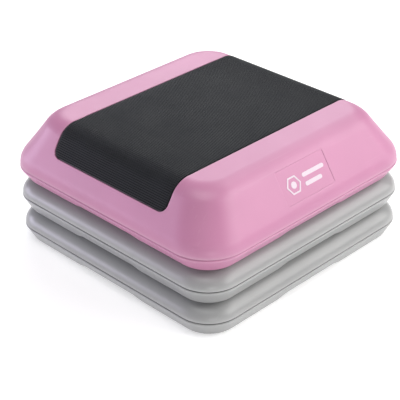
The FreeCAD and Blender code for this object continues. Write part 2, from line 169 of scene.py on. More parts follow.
def cap_patch(ring, first, per_side):
    """Grid that fills a ring: rows of vertex numbers and the coordinates of the new inner vertices."""
    count = per_side + 1
    numbers = np.zeros((count, count), int)
    total = 4 * per_side
    steps = np.arange(count)
    numbers[-1, :] = steps
    numbers[:, -1] = per_side + (per_side - steps)
    numbers[0, :] = 2 * per_side + (per_side - steps)
    numbers[:, 0] = (3 * per_side + steps) % total
    edge = ring[numbers]
    low_x, high_x = edge[0, :, :], edge[-1, :, :]
    low_y, high_y = edge[:, 0, :], edge[:, -1, :]
    share_x = (edge[:, 0, 0] - edge[0, 0, 0]) / (edge[-1, 0, 0] - edge[0, 0, 0])
    share_y = (edge[0, :, 1] - edge[0, 0, 1]) / (edge[0, -1, 1] - edge[0, 0, 1])
    share_x, share_y = share_x[:, None, None], share_y[None, :, None]
    patch = (1 - share_x) * low_x[None] + share_x * high_x[None] + (1 - share_y) * low_y[:, None]
    patch += share_y * high_y[:, None]
    patch -= ((1 - share_x) * (1 - share_y) * edge[0, 0] + share_x * (1 - share_y) * edge[-1, 0]
              + (1 - share_x) * share_y * edge[0, -1] + share_x * share_y * edge[-1, -1])
    inner = patch[1:-1, 1:-1].reshape(-1, 3)
    numbers[1:-1, 1:-1] = np.arange(len(inner)).reshape(count - 2, count - 2) + 4 * per_side
    on_ring = numbers < 4 * per_side
    return np.where(on_ring, numbers + first, numbers - 4 * per_side), on_ring, inner


def ringed_mesh(rings, columns):
    """Closed grid through rings from the middle of the underside to the middle of the top."""
    per_side = len(columns) - 1
    loops = [ring_points(*ring, columns) for ring in rings]
    around = 4 * per_side
    points = [np.concatenate(loops)]
    faces = []
    steps = np.arange(around)
    following = (steps + 1) % around
    for row in range(len(loops) - 1):
        low, high = row * around, (row + 1) * around
        faces.append(np.stack([low + steps, low + following, high + following, high + steps], axis=1))
    total = len(loops) * around
    for ring, first, upward in ((loops[0], 0, False), (loops[-1], total - around, True)):
        numbers, on_ring, inner = cap_patch(ring, first, per_side)
        numbers = np.where(on_ring, numbers, numbers + total)
        total += len(inner)
        points.append(inner)
        quads = np.stack([numbers[:-1, :-1], numbers[1:, :-1], numbers[1:, 1:], numbers[:-1, 1:]], axis=-1)
        quads = quads.reshape(-1, 4)
        faces.append(quads if upward else quads[:, ::-1])
    return np.concatenate(points), np.concatenate(faces)


def mark_painted_shade(item, painted_shade):
    """Stores how strongly painted shade darkens each vertex, for the materials."""
    item.data.attributes.new("painted_shade", "FLOAT", "POINT").data.foreach_set("value", painted_shade.astype(np.float32))


def seam_groove_shade(points, seam_level, amount):
    """Painted shade in the groove of the parting line."""
    level = points[:, 2] - seam_level
    return np.where((level > GROOVE_SHADE_LOW) & (level < GROOVE_SHADE_HIGH), amount, 0.0)


def new_object(name, points, faces):
    """Mesh object in metres from an array of points in millimetres and a list of faces."""
    mesh = bpy.data.meshes.new(name)
    mesh.from_pydata((points * MM).tolist(), [], faces)
    mesh.validate()
    mesh.shade_smooth()
    item = bpy.data.objects.new(name, mesh)
    bpy.context.scene.collection.objects.link(item)
    return item


def shade_by_angle(item, degrees):
    """Smooth shading that keeps edges sharper than an angle crisp."""
    item.data.shade_smooth()
    item.data.set_sharp_from_angle(angle=math.radians(degrees))


def vertex_normals(points, faces):
    """Normals at the points of a quad grid, weighted by face area."""
    corners = points[faces]
    face_normals = np.cross(corners[:, 2] - corners[:, 0], corners[:, 3] - corners[:, 1])
    normals = np.zeros_like(points)
    for corner in range(4):
        np.add.at(normals, faces[:, corner], face_normals)
    return normals / np.maximum(np.linalg.norm(normals, axis=1, keepdims=True), 1e-9)


# ---- outlines of the units, as rings ----

def arc_rings(centre_half, centre_level, run, rise, start, end, steps, corner_of):
    rings = []
    for step in range(steps + 1):
        angle = blend(start, end, step / steps)
        half = centre_half + run * math.cos(angle)
        rings.append((half, corner_of(half), centre_level + rise * math.sin(angle)))
    return rings


def underside_rings(bottom_half, bottom_corner):
    """From the ceiling of the recess out to the round of the bottom edge."""
    ceiling = FOOT_DROP + RECESS_DEPTH
    mouth = FOOT_DROP
    lean = (RECESS_HALF - RECESS_TOP_HALF) / RECESS_DEPTH
    rings = [(RECESS_TOP_HALF - CEILING_ROUND, RECESS_CORNER - CEILING_ROUND, ceiling)]
    for angle in np.linspace(0.2, 1.0, 4) * math.pi / 2:
        shift = CEILING_ROUND * (1 - math.sin(angle))
        level = ceiling - CEILING_ROUND * (1 - math.cos(angle))
        rings.append((RECESS_TOP_HALF - shift, RECESS_CORNER - shift, level))
    rings.append((RECESS_HALF - lean * 2.0, RECESS_CORNER, mouth + 2.0))
    for angle in np.linspace(0.0, 1.0, 5) * math.pi / 2:
        shift = MOUTH_ROUND * (1 - math.cos(angle))
        level = mouth + MOUTH_ROUND * (1 - math.sin(angle))
        rings.append((RECESS_HALF + shift, RECESS_CORNER + shift, level))
    grip_wall = bottom_half - GRIP_REACH
    for half in RIM_RING_HALVES + tuple(grip_wall + offset for offset in GRIP_RING_OFFSETS):
        share = (half - RECESS_HALF) / (bottom_half - RECESS_HALF)
        rings.append((half, blend(RECESS_CORNER, bottom_corner, share), mouth))
    return rings


def seam_rings(bottom, seam, seam_level, corner_of, share_in=1.0):
    """Bottom round, tapered band, lip and groove of the parting line."""
    bottom_half, seam_half = bottom[0], seam[0]
    taper = math.atan2(seam_half - bottom_half, seam_level - FOOT_DROP)
    drop = EDGE_RADIUS * (1 + math.sin(taper))
    centre_half = bottom_half + drop * math.tan(taper) - EDGE_RADIUS * math.cos(taper)
    rings = arc_rings(centre_half, FOOT_DROP + EDGE_RADIUS, EDGE_RADIUS, EDGE_RADIUS,
                      -math.pi / 2, -taper, 7, corner_of)
    low_half, _, low_level = rings[-1]
    lip_level = seam_level + SEAM_LIP_LEVEL
    lip_half = seam_half - SEAM_PROFILE[0][0]
    for share in (0.12, 0.3, 0.5, 0.7, 0.88, 1.0):
        half = blend(low_half, lip_half, share)
        rings.append((half, corner_of(half), blend(low_level, lip_level, share)))
    corner = seam[1]
    for inward, level in SEAM_PROFILE:
        inward *= share_in if inward > 0.0 else 1.0
        rings.append((seam_half - inward, corner - inward, seam_level + level))
    return rings


def riser_rings():
    def band_corner(half):
        share = (half - RISER_BOTTOM[0]) / (RISER_SEAM[0] - RISER_BOTTOM[0])
        return blend(RISER_BOTTOM[1], RISER_SEAM[1], share)

    def dome_corner(half):
        return RISER_SEAM[1] - DOME_CORNER_SHARE * (RISER_SEAM[0] - half)

    rings = underside_rings(*RISER_BOTTOM)
    rings += seam_rings(RISER_BOTTOM, RISER_SEAM, RISER_SEAM_LEVEL, band_corner)
    rings += arc_rings(RISER_SEAM[0] - RISER_DOME_RUN, RISER_SEAM_LEVEL, RISER_DOME_RUN,
                       RISER_TOP - RISER_SEAM_LEVEL, 0.0, math.pi / 2, 18, dome_corner)
    rings += [(half, BOSS_CORNER, RISER_TOP) for half in TOP_RING_HALVES + (BOSS_HALF + BOSS_FOOT_ROUND,)]
    lean = (BOSS_HALF - BOSS_TOP_HALF) / BOSS_HEIGHT
    for share in (0.35, 0.7, 1.0):
        angle = share * math.pi / 2
        half = BOSS_HALF + BOSS_FOOT_ROUND * (1 - math.sin(angle))
        rings.append((half, BOSS_CORNER, RISER_TOP + BOSS_FOOT_ROUND * (1 - math.cos(angle))))
    boss_top = RISER_TOP + BOSS_HEIGHT
    for share in (0.0, 0.2, 0.4, 0.6, 0.8, 1.0):
        angle = share * math.pi / 2
        shift = BOSS_TOP_ROUND * (1 - math.cos(angle))
        half = BOSS_TOP_HALF + BOSS_TOP_ROUND * lean - shift
        rings.append((half, BOSS_CORNER - shift, boss_top - BOSS_TOP_ROUND * (1 - math.sin(angle))))
    return rings


def top_round_centre():
    """Centre of the platform's top round, tangent to the slope, in (half width, level)."""
    half, level = PLATFORM_SEAM[0] - SHOULDER_RADIUS, PLATFORM_SEAM_LEVEL
    reach = half * math.cos(LEAN) + level * math.sin(LEAN) + SHOULDER_RADIUS - TOP_RADIUS
    top_level = PLATFORM_TOP - TOP_RADIUS
    return (reach - top_level * math.sin(LEAN)) / math.cos(LEAN), top_level


def slope_ends():
    """The slope's lower and upper tangent points, in (half width, level)."""
    half, level = PLATFORM_SEAM[0] - SHOULDER_RADIUS, PLATFORM_SEAM_LEVEL
    top_half, top_level = top_round_centre()
    cos, sin = math.cos(LEAN), math.sin(LEAN)
    return ((half + SHOULDER_RADIUS * cos, level + SHOULDER_RADIUS * sin),
            (top_half + TOP_RADIUS * cos, top_level + TOP_RADIUS * sin))


def lip_offsets(lip):
    """Distances from a pressed-in edge at which the grid needs a line; negative is inside."""
    return [lip, 0.75 * lip, 0.5 * lip, 0.28 * lip, 0.1 * lip, 0.0, -PRESS_WALL, -PRESS_WALL - 0.5]


def slope_levels():
    """Levels of the grid lines on the slope, close together at the tread's end and panel edges."""
    (_, low), (_, high) = slope_ends()
    levels = set(np.linspace(low, high, 9).round(3).tolist())
    bed_end = TREAD_END_LEVEL - TREAD_GROOVE
    tight = [bed_end - offset * math.sin(SLOPE) for offset in lip_offsets(BED_LIP)]
    steps = np.arange(1.2, TREAD_END_CORNER + FINE_MARGIN, FINE_SPACING)
    tight += [bed_end + step * math.sin(SLOPE) for step in steps]
    tight += [PANEL_LOW - offset * math.sin(SLOPE) for offset in lip_offsets(PANEL_LIP)]
    ends = (round(low, 3), round(high, 3))
    for level in tight:
        levels = {value for value in levels if abs(value - level) > LEVEL_CLEARANCE or value in ends}
    levels |= {round(level, 3) for level in tight if low < level < high}
    return sorted(levels)


def platform_rings():
    centre_half, centre_level = top_round_centre()
    (low_half, low_level), (high_half, high_level) = slope_ends()

    def band_corner(half):
        share = (half - PLATFORM_BOTTOM[0]) / (PLATFORM_SEAM[0] - PLATFORM_BOTTOM[0])
        return blend(PLATFORM_BOTTOM[1], PLATFORM_SEAM[1], share)

    def upper_corner(half):
        share = max(PLATFORM_SEAM[0] - half, 0.0) / (PLATFORM_SEAM[0] - centre_half)
        return blend(PLATFORM_SEAM[1], PLATFORM_TOP_CORNER, share ** PLATFORM_CORNER_POWER)

    rings = underside_rings(*PLATFORM_BOTTOM)
    rings += seam_rings(PLATFORM_BOTTOM, PLATFORM_SEAM, PLATFORM_SEAM_LEVEL, band_corner,
                        PLATFORM_SEAM_SHARE)
    rings += arc_rings(PLATFORM_SEAM[0] - SHOULDER_RADIUS, PLATFORM_SEAM_LEVEL,
                       SHOULDER_RADIUS, SHOULDER_RADIUS, 0.0, LEAN, 8, upper_corner)
    for level in slope_levels()[1:-1]:
        half = blend(low_half, high_half, (level - low_level) / (high_level - low_level))
        rings.append((half, upper_corner(half), level))
    round_angles = set(np.linspace(LEAN, math.pi / 2, 19).round(4).tolist())
    for offset in lip_offsets(PANEL_LIP):
        level = PANEL_HIGH + offset * PANEL_TOP_RISE
        round_angles.add(round(math.asin((level - centre_level) / TOP_RADIUS), 4))
    for angle in sorted(round_angles):
        half = centre_half + TOP_RADIUS * math.cos(angle)
        rings.append((half, upper_corner(half), centre_level + TOP_RADIUS * math.sin(angle)))
    return rings


# ---- grips, bed and panel ----

def lift_grips(points, bottom_half, seam_half, seam_level):
    """Raises the bottom edge in the middle of each side, keeping the band on its taper."""
    lifted = points.copy()
    taper = (seam_half - bottom_half) / (seam_level - FOOT_DROP)
    band_top = seam_level - BAND_TOP
    for axis, other in ((0, 1), (1, 0)):
        out, along, level = np.abs(points[:, axis]), np.abs(points[:, other]), points[:, 2]
        ramp = crisp((GRIP_BOTTOM_HALF - along) / (GRIP_BOTTOM_HALF - GRIP_TOP_HALF))
        wall = bottom_half - GRIP_REACH
        inward = smooth((out - wall + GRIP_WALL_RUN) / GRIP_WALL_RUN)
        upward = np.clip((band_top - level) / (band_top - FOOT_DROP), 0.0, 1.0)
        rise = GRIP_HEIGHT * ramp * inward * upward
        rise[(along > out) | (level > band_top)] = 0.0
        spread = rise * taper * smooth((out - wall) / (GRIP_REACH - EDGE_RADIUS))
        lifted[:, 2] += rise
        lifted[:, axis] += np.sign(points[:, axis]) * spread
    return lifted


def pressed_depth(distance, depth, lip):
    """How deep a surface is pressed in, at a distance outside a rounded edge."""
    rounded = lip - np.sqrt(np.clip(lip ** 2 - np.clip(lip - distance, 0.0, lip) ** 2, 0.0, None))
    rounded = np.minimum(rounded, depth)
    inside = blend(rounded, depth, np.clip(-distance / PRESS_WALL, 0.0, 1.0))
    return np.where(distance >= lip, 0.0, np.where(distance > 0.0, rounded, inside))


def window_distance(across, along, corner):
    """Signed distance to a rounded corner where both arguments are negative inside."""
    first, second = across + corner, along + corner
    outside = np.hypot(np.maximum(first, 0.0), np.maximum(second, 0.0))
    return np.minimum(np.maximum(first, second), 0.0) + outside - corner


def press_bed(points, normals):
    """Bed of the tread, over the top and part of the way down both X slopes, and how deep it is."""
    across = np.abs(points[:, 1]) - (TREAD_HALF_WIDTH + TREAD_GROOVE)
    below = (TREAD_END_LEVEL - TREAD_GROOVE - points[:, 2]) / math.sin(SLOPE)
    distance = window_distance(across, below, TREAD_END_CORNER + TREAD_GROOVE)
    depth = pressed_depth(distance, BED_DEPTH, BED_LIP)
    depth[points[:, 2] < PLATFORM_SEAM_LEVEL + PRESS_CLEAR] = 0.0
    return points - normals * depth[:, None], depth / BED_DEPTH


def press_panel(points, normals):
    """Faint badge panel on the -Y slope."""
    middle_x, half_x = (PANEL_LEFT + PANEL_RIGHT) / 2, (PANEL_RIGHT - PANEL_LEFT) / 2
    middle_z, half_z = (PANEL_LOW + PANEL_HIGH) / 2, (PANEL_HIGH - PANEL_LOW) / 2
    across = np.abs(points[:, 0] - middle_x) - half_x
    along = (np.abs(points[:, 2] - middle_z) - half_z) / math.sin(SLOPE)
    depth = pressed_depth(window_distance(across, along, PANEL_CORNER), PANEL_DEPTH, PANEL_LIP)
    depth[(points[:, 1] > PANEL_FRONT) | (points[:, 2] < PLATFORM_SEAM_LEVEL + PRESS_CLEAR)] = 0.0
    return points - normals * depth[:, None]


# ---- underside details, cut with one lathed cutter ----

def lathe(profile, middle_x, middle_y, first):
    """Closed solid of revolution about a vertical line, from a (radius, height) profile."""
    segments = LATHE_SEGMENTS
    angles = np.arange(segments) * 2 * math.pi / segments
    points, faces = [], []
    for radius, height in profile:
        points += [(middle_x + radius * math.cos(angle), middle_y + radius * math.sin(angle), height)
                   for angle in angles]
    for row in range(len(profile) - 1):
        for step in range(segments):
            following = (step + 1) % segments
            low, high = first + row * segments, first + (row + 1) * segments
            faces.append((low + step, low + following, high + following, high + step))
    faces.append(tuple(first + step for step in reversed(range(segments))))
    faces.append(tuple(first + (len(profile) - 1) * segments + step for step in range(segments)))
    return points, faces


def pocket_profile(mouth, radius, tip_radius, top, rounding):
    """Outline of a tapered pocket with a rounded mouth and a rounded tip."""
    profile = [(radius + rounding, mouth - 1.0), (radius + rounding, mouth)]
    for share in (0.2, 0.4, 0.6, 0.8, 1.0):
        angle = share * math.pi / 2
        height = mouth + rounding * (1 - math.cos(angle))
        profile.append((radius + rounding * (1 - math.sin(angle)), height))
    tip_round = min(2.5, 0.4 * tip_radius, 0.4 * (top - mouth))
    profile.append((tip_radius, top - tip_round))
    for share in (0.4, 0.7, 1.0):
        angle = share * math.pi / 2
        height = top - tip_round * (1 - math.sin(angle))
        profile.append((tip_radius - tip_round * (1 - math.cos(angle)), height))
    return profile


def cut_underside(item, inner_top, rim_top):
    """Cuts the pillars' pockets, the foot pockets and the plug's hole."""
    ceiling = FOOT_DROP + RECESS_DEPTH
    pillar = (PILLAR_FOOT_RADIUS, PILLAR_TIP_RADIUS)
    inner = pocket_profile(ceiling, *pillar, inner_top, PILLAR_MOUTH_ROUND)
    rim = pocket_profile(FOOT_DROP, *pillar, rim_top, PILLAR_MOUTH_ROUND)
    places = []
    for column in (-1, 0, 1):
        for row in (-1, 0, 1):
            places.append((inner, column * PILLAR_PITCH, row * PILLAR_PITCH))
    for along in (-RIM_PILLAR_ALONG, RIM_PILLAR_ALONG):
        for out in (-RIM_PILLAR_OUT, RIM_PILLAR_OUT):
            places += [(rim, along, out), (rim, out, along)]
    pocket = pocket_profile(FOOT_DROP, FOOT_POCKET_RADIUS, FOOT_POCKET_RADIUS, FOOT_POCKET_TOP,
                            FOOT_POCKET_ROUND)
    for x in (-FOOT_OUT, FOOT_OUT):
        for y in (-FOOT_OUT, FOOT_OUT):
            places.append((pocket, x, y))
    hole = [(PLUG_HOLE_RADIUS, ceiling - 1.0), (PLUG_HOLE_RADIUS, ceiling + 3.0)]
    places.append((hole, PLUG_OUT, PLUG_OUT))
    points, faces = [], []
    for profile, x, y in places:
        more_points, more_faces = lathe(profile, x, y, len(points))
        points += more_points
        faces += more_faces
    cutter = new_object("cutter", np.array(points), faces)
    cut = item.modifiers.new("cut", "BOOLEAN")
    cut.operation = "DIFFERENCE"
    cut.solver = "EXACT"
    cut.object = cutter
    bpy.context.view_layer.update()
    result = bpy.data.meshes.new_from_object(item.evaluated_get(bpy.context.evaluated_depsgraph_get()))
    item.modifiers.clear()
    item.data = result
    bpy.data.objects.remove(cutter)


# ---- the three shells ----

def make_riser_mesh():
    columns = side_columns(GRIP_COLUMNS, RISER_SPACING)
    points, faces = ringed_mesh(riser_rings(), columns)
    points = lift_grips(points, RISER_BOTTOM[0], RISER_SEAM[0], RISER_SEAM_LEVEL)
    item = new_object("riser", points, faces.tolist())
    # Painted shade in the parting line's groove.
    mark_painted_shade(item, seam_groove_shade(points, RISER_SEAM_LEVEL, RISER_GROOVE_SHADE))
    rim_top = RISER_TOP - PILLAR_TIP_WALL
    cut_underside(item, rim_top + BOSS_HEIGHT, rim_top)
    return item


def make_risers():
    lower = make_riser_mesh()
    shade_by_angle(lower, CREASE)
    lower.name = "lower_riser_moulding"
    upper = bpy.data.objects.new("upper_riser_moulding", lower.data.copy())
    bpy.context.scene.collection.objects.link(upper)
    upper.data.transform(Matrix.Translation((0, 0, RISER_PITCH * MM)))
    for item, body in ((lower, "lower_riser"), (upper, "upper_riser")):
        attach(item, body)
        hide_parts(body + "_shell")
    return lower, upper


def make_platform():
    bed_edge = TREAD_HALF_WIDTH + TREAD_GROOVE
    extra = [bed_edge + offset for offset in lip_offsets(BED_LIP)]
    fine_end = bed_edge - TREAD_END_CORNER - FINE_MARGIN
    extra += list(np.arange(bed_edge - 1.3, fine_end, -FINE_SPACING))
    for edge in (abs(PANEL_LEFT), abs(PANEL_RIGHT)):
        extra += [edge + offset for offset in lip_offsets(PANEL_LIP)]
    extra += [place for place in GRIP_COLUMNS if all(abs(place - other) > 0.4 for other in extra)]
    columns = side_columns(extra, PLATFORM_SPACING)
    points, faces = ringed_mesh(platform_rings(), columns)
    normals = vertex_normals(points, faces)
    points, bed_share = press_bed(points, normals)
    points = press_panel(points, normals)
    points = lift_grips(points, PLATFORM_BOTTOM[0], PLATFORM_SEAM[0], PLATFORM_SEAM_LEVEL)
    item = new_object("platform_moulding", points, faces.tolist())
    # Painted shade in the tread's bed and in the parting line's groove.
    mark_painted_shade(item, np.maximum(bed_share, seam_groove_shade(points, PLATFORM_SEAM_LEVEL, PLATFORM_GROOVE_SHADE)))
    pillar_top = PLATFORM_TOP - BED_DEPTH - PILLAR_TIP_WALL
    cut_underside(item, pillar_top, pillar_top)
    shade_by_angle(item, CREASE)
    item.data.transform(Matrix.Translation((0, 0, 2 * RISER_PITCH * MM)))
    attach(item, "platform")
    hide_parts("platform_shell")
    return item


# ---- tread ----

def tread_path():
    """Length of the tread's line over the platform, and a function that places points along it."""
    top_half, top_level = top_round_centre()
    _, (high_half, high_level) = slope_ends()
    end_run = (high_level - TREAD_END_LEVEL) / math.sin(SLOPE)
    arc_run = TOP_RADIUS * (math.pi / 2 - LEAN)
    total = 2 * (top_half + arc_run + end_run)

    def at(length, height):
        """Point (x, level) at a length along the line and a height above the platform's surface."""
        from_middle = length - total / 2
        side = math.copysign(1.0, from_middle)
        run = abs(from_middle)
        if run <= top_half:
            return side * run, PLATFORM_TOP + height
        if run <= top_half + arc_run:
            angle = math.pi / 2 - (run - top_half) / TOP_RADIUS
            reach = TOP_RADIUS + height
            return side * (top_half + reach * math.cos(angle)), top_level + reach * math.sin(angle)
        down = run - top_half - arc_run
        x = high_half + down * math.cos(SLOPE) + height * math.cos(LEAN)
        return side * x, high_level - down * math.sin(SLOPE) + height * math.sin(LEAN)

    return total, at


def rib_height(length, total):
    """Flat-topped ribs with narrow valleys, running across the tread."""
    phase = (length - total / 2) / RIB_PITCH
    wave = abs(math.cos(math.pi * phase))
    return RIB_HEIGHT * (min(RIB_CREST * wave, 1.0) - 1.0)


def round_drop(radius, from_edge):
    """How far a rounded edge lies in from its corner, at a distance from its end."""
    return radius - math.sqrt(max(radius ** 2 - max(radius - from_edge, 0.0) ** 2, 0.0))


def tread_section(half, top, bottom):
    """Cross-section of the tread as (across, height) from one side to the other."""
    left = [(-half, bottom), (-half, blend(bottom, top, 0.5))]
    for angle in np.linspace(0.0, math.pi / 2, 5):
        left.append((-half + TREAD_EDGE_ROUND * (1 - math.cos(angle)),
                     top - TREAD_EDGE_ROUND * (1 - math.sin(angle))))
    columns = np.linspace(-1.0, 1.0, TREAD_COLUMNS)[1:-1]
    middle = [(column * (half - TREAD_EDGE_ROUND), top) for column in columns]
    right = [(-across, height) for across, height in reversed(left)]
    return left + middle + right


def make_tread():
    total, at = tread_path()
    ribs = int(total / RIB_PITCH)
    rows = []
    for length in np.linspace(0.0, total, RIB_STEPS * ribs + 1):
        from_end = min(length, total - length)
        half = TREAD_HALF_WIDTH - round_drop(TREAD_END_CORNER, from_end)
        top = TREAD_PROUD + rib_height(length, total) - round_drop(TREAD_EDGE_ROUND, from_end)
        points = []
        for across, height in tread_section(half, top, TREAD_PROUD - TREAD_BODY):
            x, level = at(length, height)
            points.append((x, across, level))
        rows.append(points)
    width = len(rows[0])
    points = np.array(rows).reshape(-1, 3)
    points[:, 2] += 2 * RISER_PITCH
    faces = []
    for row in range(len(rows) - 1):
        for column in range(width):
            following = (column + 1) % width
            low, high = row * width, (row + 1) * width
            faces.append((low + column, high + column, high + following, low + following))
    faces.append(tuple(range(width)))
    faces.append(tuple((len(rows) - 1) * width + column for column in reversed(range(width))))
    item = new_object("ribbed_tread", points, faces)
    shade_by_angle(item, TREAD_CREASE)
    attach(item, "platform")
    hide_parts("tread_mat")
    return item


# ---- materials ----

PINK, GREY, BLACK_RUBBER = (0.495, 0.198, 0.335), (0.305, 0.307, 0.307), (0.0105, 0.0115, 0.014)
FOOT_RUBBER, PLUG_PLASTIC, INK = (0.022, 0.022, 0.024), (0.035, 0.035, 0.04), (0.66, 0.56, 0.63)
SCRATCH_TURN, SCRATCH_STRETCH = (0.3, 0.2, 0.7), (6.0, 420.0, 90.0)
EDGE_WEAR_AND_HIGHLIGHT = 0.10                        # how much convex edges lighten, partly as rubbed wear and partly as a painted highlight
SCUFF, SCUFF_ROUGHNESS = 0.02, 0.04     # how much scratches lighten and dull the plastic
SHADE_LEFT = 0.10                        # share of the colour left under full painted shade
GRAIN_SCALE, GRAIN_HEIGHT = 1100.0, 0.00025
WAVE_SCALE, WAVE_HEIGHT = 14.0, 0.0018


def new_material(name):
    material = bpy.data.materials.new(name)
    material.use_nodes = True
    nodes, links = material.node_tree.nodes, material.node_tree.links
    return material, nodes, links, nodes["Principled BSDF"]


def noise(nodes, links, scale, detail=3.0, roughness=0.55):
    place = nodes.new("ShaderNodeTexCoord")
    texture = nodes.new("ShaderNodeTexNoise")
    texture.inputs["Scale"].default_value = scale
    texture.inputs["Detail"].default_value = detail
    texture.inputs["Roughness"].default_value = roughness
    links.new(place.outputs["Object"], texture.inputs["Vector"])
    return texture


def ramp(nodes, links, source, stops):
    """Colour ramp from a value to colours or greys."""
    item = nodes.new("ShaderNodeValToRGB")
    elements = item.color_ramp.elements
    while len(elements) < len(stops):
        elements.new(0.5)
    for element, (position, colour) in zip(elements, stops):
        element.position = position
        element.color = (*colour, 1.0) if isinstance(colour, tuple) else (colour, colour, colour, 1.0)
    links.new(source, item.inputs["Fac"])
    return item


def mix_colours(nodes, links, kind, factor, first, second):
    """Mix of two colours; the factor and the colours are sockets or plain values."""
    item = nodes.new("ShaderNodeMix")
    item.data_type = "RGBA"
    item.blend_type = kind
    for socket, value in ((item.inputs[0], factor), (item.inputs[6], first), (item.inputs[7], second)):
        if isinstance(value, (int, float)):
            socket.default_value = value
        elif isinstance(value, tuple):
            socket.default_value = (*value, 1.0)
        else:
            links.new(value, socket)
    return item.outputs[2]


def stacked_bump(nodes, links, shader, layers):
    """Bump layers of (height socket, strength, distance in metres), finest first."""
    below = None
    for height, strength, distance in layers:
        bump = nodes.new("ShaderNodeBump")
        bump.inputs["Strength"].default_value = strength
        bump.inputs["Distance"].default_value = distance
        links.new(height, bump.inputs["Height"])
        if below is not None:
            links.new(below.outputs["Normal"], bump.inputs["Normal"])
        below = bump
    links.new(below.outputs["Normal"], shader.inputs["Normal"])


def scratches(nodes, links):
    """Thin broken lines: noise stretched a long way in one direction."""
    place = nodes.new("ShaderNodeTexCoord")
    mapping = nodes.new("ShaderNodeMapping")
    mapping.inputs["Rotation"].default_value = SCRATCH_TURN
    mapping.inputs["Scale"].default_value = SCRATCH_STRETCH
    links.new(place.outputs["Object"], mapping.inputs["Vector"])
    texture = nodes.new("ShaderNodeTexNoise")
    texture.inputs["Scale"].default_value = 1.0
    texture.inputs["Detail"].default_value = 2.0
    links.new(mapping.outputs["Vector"], texture.inputs["Vector"])
    return ramp(nodes, links, texture.outputs["Fac"], [(0.66, 0.0), (0.72, 1.0)]).outputs["Color"]


def moulded_plastic(name, colour, roughness, specular=0.5):
    """Blow-moulded plastic: grain, slow waves from cooling, scuffs, colour drift, rubbed edges lightened
    as wear and as a painted highlight, and painted shade in hollows and grooves.
    """
    material, nodes, links, shader = new_material(name)
    drift = noise(nodes, links, 7.0, detail=3.0)
    low = tuple(channel * 0.955 for channel in colour)
    high = tuple(min(channel * 1.035, 1.0) for channel in colour)
    tint = ramp(nodes, links, drift.outputs["Fac"], [(0.3, low), (0.7, high)])
    rubs = scratches(nodes, links)
    scuffed = mix_colours(nodes, links, "SCREEN", SCUFF, tint.outputs["Color"], rubs)
    geometry = nodes.new("ShaderNodeNewGeometry")
    # Convex edges lighten: partly rubbed wear, partly a painted highlight along lips and rims.
    edge_wear_and_highlight = ramp(nodes, links, geometry.outputs["Pointiness"], [(0.505, 0.0), (0.55, 1.0)])
    worn_and_highlighted = mix_colours(nodes, links, "SCREEN", EDGE_WEAR_AND_HIGHLIGHT, scuffed, edge_wear_and_highlight.outputs["Color"])
    # Painted shade in hollows: the colour darkens to 0.55 where the surface curves inward.
    painted_hollow_shade = ramp(nodes, links, geometry.outputs["Pointiness"], [(0.40, 0.55), (0.48, 1.0)])
    # Painted shade in the grooves and the tread's bed, stored per vertex, darkens the colour down to a
    # tenth.
    painted_shade = nodes.new("ShaderNodeAttribute")
    painted_shade.attribute_name = "painted_shade"
    groove_darkening = ramp(nodes, links, painted_shade.outputs["Fac"], [(0.2, 1.0), (0.85, SHADE_LEFT)])
    hollow_shaded = mix_colours(nodes, links, "MULTIPLY", 1.0, worn_and_highlighted, painted_hollow_shade.outputs["Color"])
    final = mix_colours(nodes, links, "MULTIPLY", 1.0, hollow_shaded, groove_darkening.outputs["Color"])
    links.new(final, shader.inputs["Base Color"])
    cloud = noise(nodes, links, 38.0, detail=6.0, roughness=0.7)
    gloss = ramp(nodes, links, cloud.outputs["Fac"], [(0.33, roughness - 0.02), (0.68, roughness + 0.03)])
    rough = mix_colours(nodes, links, "ADD", SCUFF_ROUGHNESS, gloss.outputs["Color"], rubs)
    links.new(rough, shader.inputs["Roughness"])
    grain = noise(nodes, links, GRAIN_SCALE, detail=2.0)
    waves = noise(nodes, links, WAVE_SCALE, detail=1.0)
    stacked_bump(nodes, links, shader, [(grain.outputs["Fac"], 0.16, GRAIN_HEIGHT),
                                        (waves.outputs["Fac"], 0.10, WAVE_HEIGHT)])
    shader.inputs["Specular IOR Level"].default_value = specular
    return material


def rubber(name, colour, roughness, scale, specular=0.4):
    """Dull rubber with fine grain, a dusty bloom and a painted highlight on its crests."""
    material, nodes, links, shader = new_material(name)
    dust = noise(nodes, links, 21.0, detail=6.0, roughness=0.68)
    low = tuple(channel * 0.8 for channel in colour)
    high = tuple(channel * 1.25 for channel in colour)
    tint = ramp(nodes, links, dust.outputs["Fac"], [(0.35, low), (0.7, high)])
    geometry = nodes.new("ShaderNodeNewGeometry")
    # Painted highlight: the crests of ribs and edges are lightened.
    painted_crest_highlight = ramp(nodes, links, geometry.outputs["Pointiness"], [(0.50, 0.0), (0.58, 1.0)])
    crest_highlighted = mix_colours(nodes, links, "SCREEN", 0.012, tint.outputs["Color"], painted_crest_highlight.outputs["Color"])
    links.new(crest_highlighted, shader.inputs["Base Color"])
    gloss = ramp(nodes, links, dust.outputs["Fac"], [(0.3, roughness - 0.05), (0.75, roughness + 0.08)])
    links.new(gloss.outputs["Color"], shader.inputs["Roughness"])
    grain = noise(nodes, links, scale, detail=3.0)
    stacked_bump(nodes, links, shader, [(grain.outputs["Fac"], 0.25, 0.0003)])
    shader.inputs["Specular IOR Level"].default_value = specular
    return material


